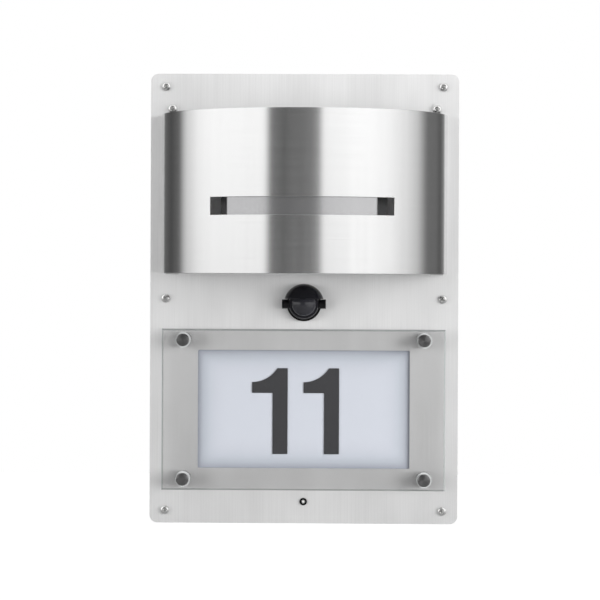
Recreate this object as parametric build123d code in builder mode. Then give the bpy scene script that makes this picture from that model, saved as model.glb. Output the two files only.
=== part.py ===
"""Illuminated house number sign: a wall light with a motion sensor and a back-lit number window.

Millimetres, +Z up. The wall is the plane Y = 0 and the sign looks towards -Y. The origin lies on
the wall, in the middle of the housing's back and of its four wall screws. A "level" is a distance
out from the wall, so a sketch on Plane.XZ.offset(level) has X and Z as its axes and grows forward.
"""
import os
from math import radians, sqrt, tan

from build123d import *

os.makedirs("parts", exist_ok=True)

# ---- driving dimensions ----

# face plate and rear housing
plate_width = 240.0
plate_height = 350.0
plate_thickness = 1.5
plate_corner_radius = 6.0
plate_overhang = 5.0
housing_depth = 27.0
housing_wall = 2.5
housing_floor = 2.5
housing_corner_radius = 8.0
housing_back_fillet = 2.0
gasket_thickness = 1.5
gasket_width = 4.0
post_radius = 5.0
wall_screw_inset_x = 40.0
wall_screw_inset_z = 25.0
wall_screw_hole_radius = 2.75
wall_boss_radius = 6.5
wall_boss_height = 2.0

# pan-head cross screws: the large ones hold plate and hood, the small ones the inner parts
face_screw_inset_x = 12.0
face_screw_inset_z = 10.0
large_head_radius = 3.5
large_head_height = 2.2
large_shank_radius = 2.0
small_head_radius = 2.7
small_head_height = 1.8
small_shank_radius = 1.5
face_screw_length = 14.0
screw_clearance = 0.1
weld_nut_radius = 3.2
weld_nut_height = 3.0
hex_nut_height = 3.0

# hood
hood_side_margin = 9.0
hood_top_margin = 32.5
hood_height_share = 0.3514
hood_sheet = 1.0
hood_flange = 14.0
hood_bend_radius = 1.5
slot_end_margin = 42.0
slot_height = 13.4
slot_drop = 11.2
ear_radius = 4.6
ear_inset = 8.0
ear_rise = 5.1
hook_width = 10.0
hook_lip = 5.5
hook_clearance = 0.3

# lamp behind the hood
cover_gap = 1.5
cover_side_margin = 54.5
cover_end_margin = 12.5
cover_wall = 2.0
cover_fillet = 3.0
cover_flange_width = 8.0
cover_flange_thickness = 4.0
cover_gasket = 2.0
carrier_margin_x = 10.5
carrier_margin_z = 12.0
carrier_thickness = 2.0
carrier_rise = 2.5
lamp_board_inset_x = 6.0
lamp_board_inset_z = 4.0
board_thickness = 1.6
led_size = 5.0
led_height = 1.4
lead_hole_radius = 4.0
grommet_lip = 1.5
grommet_lip_height = 1.2

# number window, clear panel and light box
panel_side_margin = 10.0
panel_bottom_margin = 26.5
panel_height_share = 0.3571
window_margin_x = 27.5
window_margin_z = 16.5
window_corner_radius = 1.0
opal_overlap = 3.0
opal_thickness = 3.0
light_box_clearance = 0.2
light_box_wall = 2.3
light_box_ledge = 2.0
light_box_depth = 19.0
light_box_floor = 2.0
lug_width = 15.0
lug_height = 12.0
number_board_inset_x = 7.5
number_board_inset_z = 11.0
panel_thickness = 5.0
panel_bevel_width = 2.4
panel_bevel_depth = 1.2
standoff_inset_x = 16.5
standoff_inset_z = 8.5
barrel_radius = 6.0
barrel_length = 8.0
washer_thickness = 0.5
cap_radius = 4.9
cap_height = 4.0
cap_chamfer = 0.6

# digits
digit_margin_z = 12.5
digit_thickness = 0.5
digit_stem = 11.7
digit_flag_reach = 16.0
digit_flag_drop = 10.9
digit_flag_depth = 8.5
digit_nose = 3.7
digit_pitch = 40.1
digit_pair_shift = -6.3
digit_pair_rise = -1.5

# motion sensor eye: ball, visor ring and lens turn together in the collar
eye_drop = 2.0
eye_proud = 5.5
ball_radius = 11.9
ball_front = 4.2
ball_split = 2.2
ball_back = 9.5
socket_gap = 0.3
collar_wall = 1.15
collar_rim_setback = 1.0
collar_neck_radius = 11.9
collar_neck_length = 12.0
collar_neck_wall = 1.0
ear_block_half_width = 17.0
ear_block_radius = 3.55
trunnion_radius = 1.5
trunnion_fit = 0.05
trunnion_reach = 15.5
sensor_hole_clearance = 0.1
ring_nut_radius = 17.0
ring_nut_height = 4.0
visor_radius = 15.7
visor_wall = 1.4
visor_shelf = 1.2
visor_sill = 4.0
bezel_opening_radius = 10.3
lens_radius = 10.7
lens_wall = 0.9
lens_flange_radius = 10.8
lens_flange = 1.0
detector_board_radius = 9.3
detector_board_depth = 3.0
detector_radius = 4.6
detector_height = 4.2
ball_bore_radius = 9.6
ball_rear_bore_radius = 8.0
ball_rear_bore_depth = 7.5
ball_lead_hole_radius = 5.2

# dusk sensor
dusk_margin = 17.0
dusk_bezel_radius = 2.9
dusk_neck_radius = 2.3
dusk_cell_radius = 1.6
dusk_bezel_height = 1.2
dusk_tail = 5.0

# electronics in the housing
board_width = 60.0
board_height = 80.0
board_side_gap = 7.5
board_top_gap = 78.0
board_boss_height = 6.0
board_boss_radius = 3.0
board_hole_inset = 4.0
relay_size = (19.0, 15.5, 15.5)
capacitor_radius = 5.0
capacitor_height = 13.0
trimmer_size = (12.0, 10.0, 10.0)
trimmer_spacing = 28.0
knob_stem_radius = 1.5
knob_stem_depth = 3.0
knob_radius = 5.0
knob_fit = 0.05
knob_hole_gap = 0.4
knob_head_gap = 2.0
knob_proud = 3.0
knob_slot_width = 1.2
knob_slot_depth = 1.5
driver_size = (78.0, 38.0, 20.0)
driver_side_gap = 12.5
driver_top_gap = 111.0
driver_foot = 6.0
driver_foot_thickness = 2.5
terminal_size = (42.0, 20.0, 17.0)
terminal_side_gap = 35.5
terminal_pitch = 13.0
terminal_mouth_radius = 2.0
terminal_mouth_depth = 7.0
terminal_screw_radius = 2.0
terminal_screw_length = 6.0
cable_entry_top_gap = 55.0
cable_entry_radius = 4.0
cable_grommet_wall = 4.0
cable_grommet_lip = 3.0
cable_grommet_lip_height = 3.0
connector_size = (8.0, 6.0, 5.4)
earth_side_gap = 67.5
earth_top_gap = 35.0
earth_stud_radius = 2.0
earth_stud_length = 12.0
earth_tag_radius = 4.2
earth_tag_thickness = 0.8
earth_tag_barrel = 7.0
thin_lead_radius = 1.0
lead_radius = 1.3
lead_clearance = 0.15
lead_drop = 12.0
clamp_reach = 2.0

# ---- levels and places that follow ----

plate_back = housing_depth + gasket_thickness
plate_front = plate_back + plate_thickness
housing_width = plate_width - 2 * plate_overhang
housing_height = plate_height - 2 * plate_overhang
housing_inner_x = housing_width / 2 - housing_wall
housing_top = housing_height / 2
wall_screw_spacing = (housing_width - 2 * wall_screw_inset_x,
                      housing_height - 2 * wall_screw_inset_z)
face_screw_x = plate_width / 2 - face_screw_inset_x
face_screw_z = plate_height / 2 - face_screw_inset_z
face_screw_places = [(x, z) for x in (-face_screw_x, face_screw_x)
                     for z in (-face_screw_z, 0, face_screw_z)]

hood_radius = plate_width / 2 - hood_side_margin
hood_height = hood_height_share * plate_height
hood_top = plate_height / 2 - hood_top_margin
hood_bottom = hood_top - hood_height
hood_z = hood_bottom + hood_height / 2
slot_z = hood_z - slot_drop
slot_chord = 2 * (hood_radius - slot_end_margin)
hood_screw_x = hood_radius - ear_inset
hood_screw_z = hood_top + ear_rise
hood_screw_places = [(-hood_screw_x, hood_screw_z), (hood_screw_x, hood_screw_z)]

cover_radius = hood_radius - hood_sheet - cover_gap
cover_width = 2 * (hood_radius - cover_side_margin)
cover_height = hood_height - 2 * cover_end_margin
cover_seat = plate_front + cover_gasket
cover_seat_front = cover_seat + cover_flange_thickness
cover_outer = (cover_width + 2 * cover_flange_width, cover_height + 2 * cover_flange_width)
cover_inner = (cover_width - 2 * cover_wall, cover_height - 2 * cover_wall)
cover_screw_spacing = (cover_width + cover_flange_width, cover_height + cover_flange_width)
carrier_width = cover_width - 2 * carrier_margin_x
carrier_height = cover_height - 2 * carrier_margin_z
carrier_z = hood_z + carrier_rise
carrier_front = plate_front + carrier_thickness
lamp_board_width = carrier_width - 2 * lamp_board_inset_x
lamp_board_height = carrier_height - 2 * lamp_board_inset_z
lamp_board_front = carrier_front + board_thickness
carrier_screw_spacing = ((carrier_width + lamp_board_width) / 2, lamp_board_height)
grommet_radius = lead_hole_radius + grommet_lip
lead_hole_z = hood_z - cover_inner[1] / 2 + grommet_radius + lead_clearance
lamp_connector_z = carrier_z - lamp_board_height / 2 + connector_size[1] / 2 + 1

panel_width = plate_width - 2 * panel_side_margin
panel_height = panel_height_share * plate_height
panel_bottom = panel_bottom_margin - plate_height / 2
number_z = panel_bottom + panel_height / 2
standoff_spacing = (panel_width - 2 * standoff_inset_x, panel_height - 2 * standoff_inset_z)
window_width = panel_width - 2 * window_margin_x
window_height = panel_height - 2 * window_margin_z
number_board_width = window_width - 2 * number_board_inset_x
number_board_height = window_height - 2 * number_board_inset_z
digit_height = window_height - 2 * digit_margin_z
opal_width = window_width + 2 * opal_overlap
opal_height = window_height + 2 * opal_overlap
opal_back = plate_back - opal_thickness
light_box_back = plate_back - light_box_depth
light_box_inside = light_box_back + light_box_floor
light_box_width = opal_width + 2 * (light_box_clearance + light_box_wall)
light_box_height = opal_height + 2 * (light_box_clearance + light_box_wall)
barrel_front = plate_front + barrel_length
panel_back = barrel_front + washer_thickness
panel_front = panel_back + panel_thickness
cap_seat = panel_front + washer_thickness
standoff_nut_seat = opal_back - hex_nut_height
number_board_front = light_box_inside + board_thickness

eye_z = (hood_bottom + panel_bottom + panel_height) / 2 - eye_drop
eye_level = plate_front + eye_proud
socket_radius = ball_radius + socket_gap
collar_radius = socket_radius + collar_wall
collar_neck_back = plate_front - collar_neck_length
dusk_z = dusk_margin - plate_height / 2

cable_entry_z = housing_top - cable_entry_top_gap
board_z = housing_top - board_top_gap - board_height / 2
board_x = housing_inner_x - board_side_gap - board_width / 2
board_back = housing_floor + board_boss_height
board_front = board_back + board_thickness
board_right = board_x + board_width / 2
trimmer_level = board_front + trimmer_size[2] / 2
trimmer_places = {"lux": board_z - trimmer_spacing / 2, "time": board_z + trimmer_spacing / 2}
connector_level = board_front + connector_size[2] / 2
driver_half = driver_size[0] / 2
driver_x = driver_side_gap + driver_foot + driver_half - housing_inner_x
driver_z = housing_top - driver_top_gap - driver_size[1] / 2
driver_front = housing_floor + driver_size[2]
terminal_x = terminal_side_gap + terminal_size[0] / 2 - housing_inner_x
terminal_z = cable_entry_z
terminal_front = housing_floor + terminal_size[2]
earth_x = housing_inner_x - earth_side_gap
earth_z = housing_top - earth_top_gap


def save(builder, name):
    """Label a finished piece and write it as one STEP file."""
    builder.part.label = name
    export_step(builder.part, "parts/" + name + ".step")


def corners(spacing_x, spacing_z, centre_z=0.0):
    """The four corner places of a rectangle that is centred on X = 0."""
    return [(x, centre_z + z) for x in (-spacing_x / 2, spacing_x / 2)
            for z in (-spacing_z / 2, spacing_z / 2)]


def pan_screws(places, seat, head_radius, head_height, shank_radius, length):
    """Pan-head screws with a cross recess, their heads seated at one level."""
    recess_length = 1.1 * head_radius
    recess_width = 0.3 * head_radius
    with BuildPart() as screws:
        with BuildSketch(Plane.XZ.offset(seat)):
            with Locations(*places):
                Circle(head_radius)
        extrude(amount=head_height)
        fillet(screws.edges().group_by(Axis.Y)[0], radius=0.6 * head_height)
        with BuildSketch(Plane.XZ.offset(seat + head_height)):
            with Locations(*places):
                Rectangle(recess_length, recess_width)
                Rectangle(recess_width, recess_length)
        extrude(amount=-head_height / 2, mode=Mode.SUBTRACT)
        with BuildSketch(Plane.XZ.offset(seat - length)):
            with Locations(*places):
                Circle(shank_radius)
        extrude(amount=length)
    return screws


def tubes(places, back, length, radius, bore):
    """Round collars with a through bore, such as spacers, washers and weld nuts."""
    with BuildPart() as rings:
        with BuildSketch(Plane.XZ.offset(back)):
            with Locations(*places):
                Circle(radius)
                Circle(bore, mode=Mode.SUBTRACT)
        extrude(amount=length)
    return rings


def hex_nuts(places, back, height, bore):
    """Hexagon nuts, their flats 1.75 times the thread's diameter apart."""
    with BuildPart() as nuts:
        with BuildSketch(Plane.XZ.offset(back)):
            with Locations(*places):
                RegularPolygon(1.75 * bore, 6, major_radius=False)
                Circle(bore, mode=Mode.SUBTRACT)
        extrude(amount=height)
    return nuts


def sheet(width, height, back, thickness, centre=(0.0, 0.0)):
    """A plain rectangular board or plate that is parallel to the wall."""
    with BuildPart() as board:
        with BuildSketch(Plane.XZ.offset(back)):
            with Locations(centre):
                Rectangle(width, height)
        extrude(amount=thickness)
    return board


def led_grid(centre_z, width, height, columns, rows, back):
    """Square light-emitting chips, spread over a board's width and height."""
    with BuildPart() as chips:
        with BuildSketch(Plane.XZ.offset(back)):
            with Locations((0, centre_z)):
                with GridLocations(width / (columns + 1), height / (rows + 1), columns, rows):
                    Rectangle(led_size, led_size)
        extrude(amount=led_height)
        chamfer(chips.edges().group_by(Axis.Y)[0], length=led_height / 4)
    return chips


def lead(name, route, radius):
    """A round lead along straight runs joined by arcs as large as their runs allow."""
    points = [Vector(x, -level, z) for x, level, z in route]
    bends = []
    for before, corner, after in zip(points, points[1:], points[2:]):
        run_in = corner - before
        run_out = after - corner
        half_turn = radians(run_in.get_angle(run_out)) / 2
        bends.append(0.45 * min(run_in.length, run_out.length) / tan(half_turn))
    with BuildPart() as wire:
        with BuildLine():
            path = FilletPolyline(*points, radius=bends)
        with BuildSketch(Plane(origin=path @ 0, z_dir=path % 0)):
            Circle(radius)
        sweep(path=path)
    print(name, "length", round(path.length, 1), "bend radii", [round(b, 1) for b in bends])
    save(wire, name)


# ---- rear housing ----

# Moulded tray against the wall: side walls, six screw posts up to the rim, bosses for the wall
# screws and the control board, and holes for the cable and the two knobs.
board_holes = [(board_x + x, board_z + z)
               for x, z in corners(board_width - 2 * board_hole_inset,
                                   board_height - 2 * board_hole_inset)]
wall_screw_places = corners(*wall_screw_spacing)

with BuildPart() as rear_housing:
    with BuildSketch(Plane.XZ):
        RectangleRounded(housing_width, housing_height, housing_corner_radius)
    extrude(amount=housing_depth)
    fillet(rear_housing.edges().group_by(Axis.Y)[-1], radius=housing_back_fillet)
    with BuildSketch(Plane.XZ.offset(housing_floor)):
        RectangleRounded(housing_width - 2 * housing_wall, housing_height - 2 * housing_wall,
                         housing_corner_radius - housing_wall)
    extrude(amount=housing_depth, mode=Mode.SUBTRACT)
    with BuildSketch(Plane.XZ.offset(housing_floor)):
        with Locations(*face_screw_places):
            Circle(post_radius)
        RectangleRounded(housing_width, housing_height, housing_corner_radius, mode=Mode.INTERSECT)
    extrude(amount=housing_depth - housing_floor)
    with BuildSketch(Plane.XZ.offset(housing_floor)):
        with Locations(*wall_screw_places):
            Circle(wall_boss_radius)
    extrude(amount=wall_boss_height)
    with BuildSketch(Plane.XZ.offset(housing_floor)):
        with Locations(*board_holes):
            Circle(board_boss_radius)
    extrude(amount=board_boss_height)
    with BuildSketch(Plane.XZ):
        with Locations(*wall_screw_places):
            Circle(wall_screw_hole_radius)
        with Locations((0, cable_entry_z)):
            Circle(cable_entry_radius + cable_grommet_wall)
    extrude(amount=housing_floor + wall_boss_height, mode=Mode.SUBTRACT)
    with BuildSketch(Plane.XZ.offset(plate_front)):
        with Locations(*face_screw_places):
            Circle(large_shank_radius + screw_clearance)
    extrude(amount=-face_screw_length - screw_clearance, mode=Mode.SUBTRACT)
    with BuildSketch(Plane.XZ.offset(board_back)):
        with Locations(*board_holes):
            Circle(small_shank_radius + screw_clearance)
    extrude(amount=-board_boss_height, mode=Mode.SUBTRACT)
    with BuildSketch(Plane.YZ.offset(housing_inner_x - housing_wall)):
        for knob_z in trimmer_places.values():
            with Locations((-trimmer_level, knob_z)):
                Circle(knob_radius + knob_hole_gap)
    extrude(amount=3 * housing_wall, mode=Mode.SUBTRACT)
save(rear_housing, "rear_housing")

# Foam frame between the housing's rim and the plate, with a punched ear over each post.
with BuildPart() as housing_gasket:
    with BuildSketch(Plane.XZ.offset(housing_depth)):
        RectangleRounded(housing_width, housing_height, housing_corner_radius)
        RectangleRounded(housing_width - 2 * gasket_width, housing_height - 2 * gasket_width,
                         housing_corner_radius - gasket_width, mode=Mode.SUBTRACT)
        with Locations(*face_screw_places):
            Circle(post_radius)
        RectangleRounded(housing_width, housing_height, housing_corner_radius, mode=Mode.INTERSECT)
        with Locations(*face_screw_places):
            Circle(large_shank_radius + screw_clearance, mode=Mode.SUBTRACT)
    extrude(amount=gasket_thickness)
save(housing_gasket, "housing_gasket")

# Rubber plug with the cable bore, flush with the housing's back and lipped inside.
cable_plug_radius = cable_entry_radius + cable_grommet_wall
with BuildPart() as cable_grommet:
    with BuildSketch(Plane.XZ):
        with Locations((0, cable_entry_z)):
            Circle(cable_plug_radius)
    extrude(amount=housing_floor)
    with BuildSketch(Plane.XZ.offset(housing_floor)):
        with Locations((0, cable_entry_z)):
            Circle(cable_plug_radius + cable_grommet_lip)
    extrude(amount=cable_grommet_lip_height)
    fillet(cable_grommet.edges().group_by(Axis.Y)[0], radius=cable_grommet_lip_height / 2)
    with BuildSketch(Plane.XZ):
        with Locations((0, cable_entry_z)):
            Circle(cable_entry_radius)
    extrude(amount=housing_floor + cable_grommet_lip_height, mode=Mode.SUBTRACT)
save(cable_grommet, "cable_grommet")

# ---- face plate ----

# Hooks at the hood's lower corners drop behind the plate through two slots.
hook_slot_bottom = hood_bottom + hood_sheet
hook_slot_height = hook_lip + hood_sheet + 2 * hook_clearance
cover_screw_places = corners(*cover_screw_spacing, hood_z)
carrier_screw_places = corners(*carrier_screw_spacing, carrier_z)
standoff_places = corners(*standoff_spacing, number_z)

with BuildPart() as face_plate:
    with BuildSketch(Plane.XZ.offset(plate_back)):
        RectangleRounded(plate_width, plate_height, plate_corner_radius)
        with Locations((0, number_z)):
            RectangleRounded(window_width, window_height, window_corner_radius, mode=Mode.SUBTRACT)
        with Locations((0, eye_z)):
            Circle(collar_neck_radius + sensor_hole_clearance, mode=Mode.SUBTRACT)
        with Locations((0, dusk_z)):
            Circle(dusk_neck_radius + screw_clearance, mode=Mode.SUBTRACT)
        with Locations((0, lead_hole_z)):
            Circle(lead_hole_radius, mode=Mode.SUBTRACT)
        with Locations(*face_screw_places, *standoff_places):
            Circle(large_shank_radius + screw_clearance, mode=Mode.SUBTRACT)
        with Locations(*hood_screw_places, *cover_screw_places, *carrier_screw_places):
            Circle(small_shank_radius + screw_clearance, mode=Mode.SUBTRACT)
        with Locations((-hood_screw_x, hook_slot_bottom + hook_slot_height / 2),
                       (hood_screw_x, hook_slot_bottom + hook_slot_height / 2)):
            Rectangle(hook_width + 2 * hook_clearance, hook_slot_height, mode=Mode.SUBTRACT)
    extrude(amount=plate_thickness)
save(face_plate, "face_plate")

face_screws = pan_screws(face_screw_places, plate_front, large_head_radius, large_head_height,
                         large_shank_radius, face_screw_length)
save(face_screws, "face_screws")

# Round weld nuts on the plate's back, one behind each screw of the hood and the lamp.
plate_nuts = tubes(hood_screw_places + cover_screw_places + carrier_screw_places,
                   plate_back - weld_nut_height, weld_nut_height, weld_nut_radius,
                   small_shank_radius + screw_clearance)
save(plate_nuts, "plate_nuts")

# ---- hood ----

# Half-round sheet with inward flanges on the plate. Two ears rise above its upper edge, where a
# screwdriver passes over the hood, and two hooks hold its lower corners.
with BuildPart() as hood:
    with BuildSketch(Plane.XY.offset(hood_bottom)):
        with Locations((0, -plate_front)):
            Circle(hood_radius)
            Circle(hood_radius - hood_sheet, mode=Mode.SUBTRACT)
        with Locations((0, -plate_front - hood_radius)):
            Rectangle(2 * hood_radius, 2 * hood_radius, mode=Mode.INTERSECT)
        with Locations((hood_flange / 2 - hood_radius, -plate_front - hood_sheet / 2),
                       (hood_radius - hood_flange / 2, -plate_front - hood_sheet / 2)):
            Rectangle(hood_flange, hood_sheet)
        with Locations((0, -plate_front)):
            Circle(hood_radius, mode=Mode.INTERSECT)
    extrude(amount=hood_height)
    bend_edges = hood.edges().filter_by(Axis.Z).group_by(Axis.Y)[-1]
    fillet(ShapeList([bend_edges.sort_by(Axis.X)[0], bend_edges.sort_by(Axis.X)[-1]]),
           radius=hood_bend_radius)
    with BuildSketch(Plane.XZ.offset(plate_front)):
        with Locations((0, slot_z)):
            Rectangle(slot_chord, slot_height)
    extrude(amount=2 * hood_radius, mode=Mode.SUBTRACT)
    with BuildSketch(Plane.XZ.offset(plate_front)):
        for x, z in hood_screw_places:
            with Locations((x, z)):
                Circle(ear_radius)
            with Locations((x, z - ear_rise)):
                Rectangle(2 * ear_radius, 2 * ear_rise)
    extrude(amount=hood_sheet)
    with BuildSketch(Plane.XZ.offset(plate_front)):
        with Locations(*hood_screw_places):
            Circle(small_shank_radius + screw_clearance)
    extrude(amount=hood_sheet, mode=Mode.SUBTRACT)
    lip_front = plate_back - hook_clearance
    for x in (-hood_screw_x, hood_screw_x):
        with BuildSketch(Plane.YZ.offset(x - hook_width / 2)):
            with BuildLine():
                Polyline((-plate_front - hood_sheet, hook_slot_bottom + hook_clearance),
                         (-lip_front, hook_slot_bottom + hook_clearance),
                         (-lip_front, hook_slot_bottom + hook_clearance - hook_lip),
                         (-lip_front + hood_sheet, hook_slot_bottom + hook_clearance - hook_lip),
                         (-lip_front + hood_sheet, hook_slot_bottom + hook_clearance + hood_sheet),
                         (-plate_front - hood_sheet, hook_slot_bottom + hook_clearance + hood_sheet),
                         close=True)
            make_face()
        extrude(amount=hook_width)
save(hood, "hood")

hood_screws = pan_screws(hood_screw_places, plate_front + hood_sheet, large_head_radius,
                         large_head_height, small_shank_radius,
                         hood_sheet + plate_thickness + weld_nut_height)
save(hood_screws, "hood_screws")

# ---- lamp behind the hood ----

# Opal cover: a box whose front follows the hood, with a screw flange round its open back.
with BuildPart() as lamp_diffuser:
    with BuildSketch(Plane.XY.offset(hood_z - cover_height / 2)):
        with Locations((0, -plate_front)):
            Circle(cover_radius)
        with Locations((0, -cover_seat - cover_radius)):
            Rectangle(cover_width, 2 * cover_radius, mode=Mode.INTERSECT)
    extrude(amount=cover_height)
    open_back = lamp_diffuser.faces().sort_by(Axis.Y)[-1]
    fillet(lamp_diffuser.edges() - open_back.edges(), radius=cover_fillet)
    offset(amount=-cover_wall, openings=lamp_diffuser.faces().sort_by(Axis.Y)[-1])
    with BuildSketch(Plane.XZ.offset(cover_seat)):
        with Locations((0, hood_z)):
            RectangleRounded(*cover_outer, cover_flange_width / 2)
            Rectangle(*cover_inner, mode=Mode.SUBTRACT)
        with Locations(*cover_screw_places):
            Circle(small_shank_radius + screw_clearance, mode=Mode.SUBTRACT)
    extrude(amount=cover_flange_thickness)
save(lamp_diffuser, "lamp_diffuser")

with BuildPart() as lamp_gasket:
    with BuildSketch(Plane.XZ.offset(plate_front)):
        with Locations((0, hood_z)):
            RectangleRounded(*cover_outer, cover_flange_width / 2)
            Rectangle(*cover_inner, mode=Mode.SUBTRACT)
        with Locations(*cover_screw_places):
            Circle(small_shank_radius + screw_clearance, mode=Mode.SUBTRACT)
    extrude(amount=cover_gasket)
save(lamp_gasket, "lamp_gasket")

lamp_screws = pan_screws(cover_screw_places, cover_seat_front, small_head_radius,
                         small_head_height, small_shank_radius,
                         cover_seat_front - plate_back + weld_nut_height)
save(lamp_screws, "lamp_screws")

# Aluminium carrier that spreads the light board's heat into the plate.
with BuildPart() as lamp_carrier:
    with BuildSketch(Plane.XZ.offset(plate_front)):
        with Locations((0, carrier_z)):
            RectangleRounded(carrier_width, carrier_height, small_head_radius)
        with Locations(*carrier_screw_places):
            Circle(small_shank_radius + screw_clearance, mode=Mode.SUBTRACT)
    extrude(amount=carrier_thickness)
save(lamp_carrier, "lamp_carrier")

carrier_screws = pan_screws(carrier_screw_places, carrier_front, small_head_radius,
                            small_head_height, small_shank_radius,
                            carrier_front - plate_back + weld_nut_height)
save(carrier_screws, "carrier_screws")

lamp_board = sheet(lamp_board_width, lamp_board_height, carrier_front, board_thickness,
                   (0.0, carrier_z))
save(lamp_board, "lamp_board")
lamp_leds = led_grid(carrier_z + connector_size[1] / 2, lamp_board_width, lamp_board_height, 4, 4,
                     lamp_board_front)
save(lamp_leds, "lamp_leds")

# Rubber ring that guards the lamp's lead where it passes the plate.
with BuildPart() as lead_grommet:
    with BuildSketch(Plane.XZ.offset(plate_back - grommet_lip_height)):
        with Locations((0, lead_hole_z)):
            Circle(grommet_radius)
    extrude(amount=grommet_lip_height)
    with BuildSketch(Plane.XZ.offset(plate_back)):
        with Locations((0, lead_hole_z)):
            Circle(lead_hole_radius)
    extrude(amount=plate_thickness)
    with BuildSketch(Plane.XZ.offset(plate_front)):
        with Locations((0, lead_hole_z)):
            Circle(grommet_radius)
    extrude(amount=grommet_lip_height)
    with BuildSketch(Plane.XZ.offset(plate_back - grommet_lip_height)):
        with Locations((0, lead_hole_z)):
            Circle(lead_radius + lead_clearance)
    extrude(amount=plate_thickness + 2 * grommet_lip_height, mode=Mode.SUBTRACT)
save(lead_grommet, "lead_grommet")

# ---- number window ----

number_diffuser = sheet(opal_width, opal_height, opal_back, opal_thickness, (0.0, number_z))
save(number_diffuser, "number_diffuser")

# White tray behind the window. Its rim holds the opal sheet against the plate, and its four lugs
# share the stand-offs' screws.
number_lead_x = number_board_width / 2 - 3 * connector_size[0] / 2
number_lead_level = number_board_front + connector_size[2] / 2
with BuildPart() as light_box:
    with BuildSketch(Plane.XZ.offset(light_box_back)):
        with Locations((0, number_z)):
            RectangleRounded(light_box_width, light_box_height, light_box_wall)
    extrude(amount=light_box_depth)
    with BuildSketch(Plane.XZ.offset(opal_back)):
        with Locations(*standoff_places):
            RectangleRounded(lug_width, lug_height, light_box_wall)
    extrude(amount=opal_thickness)
    with BuildSketch(Plane.XZ.offset(opal_back)):
        with Locations((0, number_z)):
            Rectangle(opal_width + 2 * light_box_clearance, opal_height + 2 * light_box_clearance)
        with Locations(*standoff_places):
            Circle(large_shank_radius + screw_clearance)
    extrude(amount=opal_thickness, mode=Mode.SUBTRACT)
    with BuildSketch(Plane.XZ.offset(light_box_inside)):
        with Locations((0, number_z)):
            Rectangle(opal_width - 2 * light_box_ledge, opal_height - 2 * light_box_ledge)
    extrude(amount=opal_back - light_box_inside, mode=Mode.SUBTRACT)
    with BuildSketch(Plane.XY.offset(number_z)):
        with Locations((number_lead_x, -number_lead_level)):
            Circle(lead_radius + lead_clearance)
    extrude(amount=light_box_height, mode=Mode.SUBTRACT)
save(light_box, "light_box")

number_board = sheet(number_board_width, number_board_height, light_box_inside, board_thickness,
                     (0.0, number_z))
save(number_board, "number_board")
number_leds = led_grid(number_z - connector_size[1] / 2, number_board_width, number_board_height, 6,
                       2, number_board_front)
save(number_leds, "number_leds")


def digit_one(left, foot):
    """The numeral one: an upright stem with a flag whose upper edge is a hollow arc."""
    top = foot + digit_height
    flag_top = top - digit_flag_drop
    stem_left = left + digit_flag_reach
    stem_right = stem_left + digit_stem
    nose = (stem_left + digit_nose, top)
    tip = (left, flag_top)
    with BuildPart() as numeral:
        with BuildSketch(Plane.XZ.offset(plate_back)):
            with BuildLine():
                Polyline(tip, (left, flag_top - digit_flag_depth),
                         (stem_left, flag_top - digit_flag_depth), (stem_left, foot),
                         (stem_right, foot), (stem_right, top), nose)
                TangentArc(tip, nose, tangent=(1, 0))
            make_face()
        extrude(amount=digit_thickness)
    return numeral


digit_foot = number_z - digit_height / 2 + digit_pair_rise
digit_width = digit_flag_reach + digit_stem
first_digit_left = digit_pair_shift - (digit_pitch + digit_width) / 2
save(digit_one(first_digit_left, digit_foot), "digit_left")
save(digit_one(first_digit_left + digit_pitch, digit_foot), "digit_right")

# Clear panel, bevelled round its front, drilled for the four stand-offs.
with BuildPart() as number_panel:
    with BuildSketch(Plane.XZ.offset(panel_back)):
        with Locations((0, number_z)):
            Rectangle(panel_width, panel_height)
    extrude(amount=panel_thickness)
    front_face = number_panel.faces().sort_by(Axis.Y)[0]
    chamfer(front_face.edges(), length=panel_bevel_depth, length2=panel_bevel_width,
            reference=front_face)
    with BuildSketch(Plane.XZ.offset(panel_back)):
        with Locations(*standoff_places):
            Circle(large_shank_radius + screw_clearance)
    extrude(amount=panel_thickness, mode=Mode.SUBTRACT)
save(number_panel, "number_panel")

standoff_barrels = tubes(standoff_places, plate_front, barrel_length, barrel_radius,
                         large_shank_radius + screw_clearance)
save(standoff_barrels, "standoff_barrels")

with BuildPart() as standoff_washers:
    for washer_back in (barrel_front, panel_front):
        with BuildSketch(Plane.XZ.offset(washer_back)):
            with Locations(*standoff_places):
                Circle(barrel_radius)
                Circle(large_shank_radius + screw_clearance, mode=Mode.SUBTRACT)
        extrude(amount=washer_thickness)
save(standoff_washers, "standoff_washers")

# Cap and threaded shank in one: the shank passes panel, barrel, plate and light box lug.
with BuildPart() as standoff_caps:
    with BuildSketch(Plane.XZ.offset(cap_seat)):
        with Locations(*standoff_places):
            Circle(cap_radius)
    extrude(amount=cap_height)
    chamfer(standoff_caps.edges().group_by(Axis.Y)[0], length=cap_chamfer)
    with BuildSketch(Plane.XZ.offset(standoff_nut_seat)):
        with Locations(*standoff_places):
            Circle(large_shank_radius)
    extrude(amount=cap_seat - standoff_nut_seat)
save(standoff_caps, "standoff_caps")

standoff_nuts = hex_nuts(standoff_places, standoff_nut_seat, hex_nut_height,
                         large_shank_radius + screw_clearance)
save(standoff_nuts, "standoff_nuts")

# ---- motion sensor eye ----

eye_centre = (0, -eye_level, eye_z)
neck_inner_radius = collar_neck_radius - collar_neck_wall
bore_radius = trunnion_radius + trunnion_fit

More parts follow.
